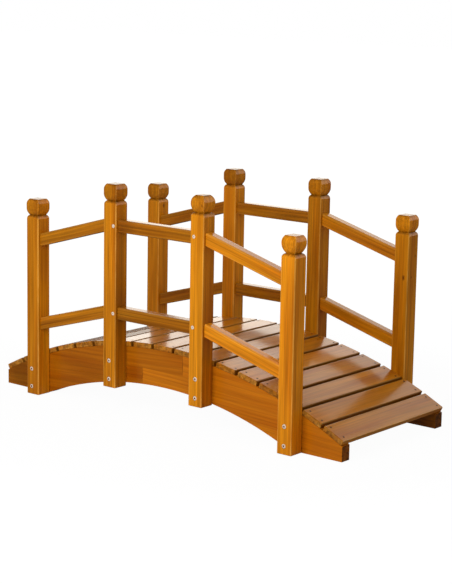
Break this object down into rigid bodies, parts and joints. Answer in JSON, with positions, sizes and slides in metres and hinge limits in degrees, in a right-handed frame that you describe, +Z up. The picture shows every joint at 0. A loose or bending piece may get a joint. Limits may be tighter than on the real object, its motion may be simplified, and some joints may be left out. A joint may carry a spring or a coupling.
{
  "type": "arched wooden garden bridge",
  "caption": "Small arched garden bridge in varnished wood: crosswise deck boards on two bow-shaped side beams, with square headed posts and two rails on each side",
  "frame": {"origin": "on the ground under the middle of the deck, at the bottom centre of the bounding box", "axes": "+X along the bridge in the walking direction, +Y across it, +Z up"},
  "size_m": [1.2542, 0.5706, 0.6545],
  "materials": {
    "beam_wood": "gloss varnish over honey stain",
    "post_wood": "gloss varnish over honey stain",
    "rail_wood": "gloss varnish over honey stain",
    "board_wood": "gloss varnish over honey stain"
  },
  "bodies": {
    "root": {"side_beam_near": "beam_wood", "side_beam_far": "beam_wood", "post_near_1": "post_wood", "post_near_2": "post_wood", "post_near_3": "post_wood", "post_near_4": "post_wood", "post_far_1": "post_wood", "post_far_2": "post_wood", "post_far_3": "post_wood", "post_far_4": "post_wood", "rail_near_lower_1": "rail_wood", "rail_near_lower_2": "rail_wood", "rail_near_lower_3": "rail_wood", "rail_near_upper_1": "rail_wood", "rail_near_upper_2": "rail_wood", "rail_near_upper_3": "rail_wood", "rail_far_lower_1": "rail_wood", "rail_far_lower_2": "rail_wood", "rail_far_lower_3": "rail_wood", "rail_far_upper_1": "rail_wood", "rail_far_upper_2": "rail_wood", "rail_far_upper_3": "rail_wood", "deck_board_01": "board_wood", "deck_board_02": "board_wood", "deck_board_03": "board_wood", "deck_board_04": "board_wood", "deck_board_05": "board_wood", "deck_board_06": "board_wood", "deck_board_07": "board_wood", "deck_board_08": "board_wood", "deck_board_09": "board_wood", "deck_board_10": "board_wood", "deck_board_11": "board_wood", "deck_board_12": "board_wood", "deck_board_13": "board_wood", "deck_board_14": "board_wood", "deck_board_15": "board_wood", "deck_board_16": "board_wood", "deck_board_17": "board_wood"}
  },
  "joints": []
}
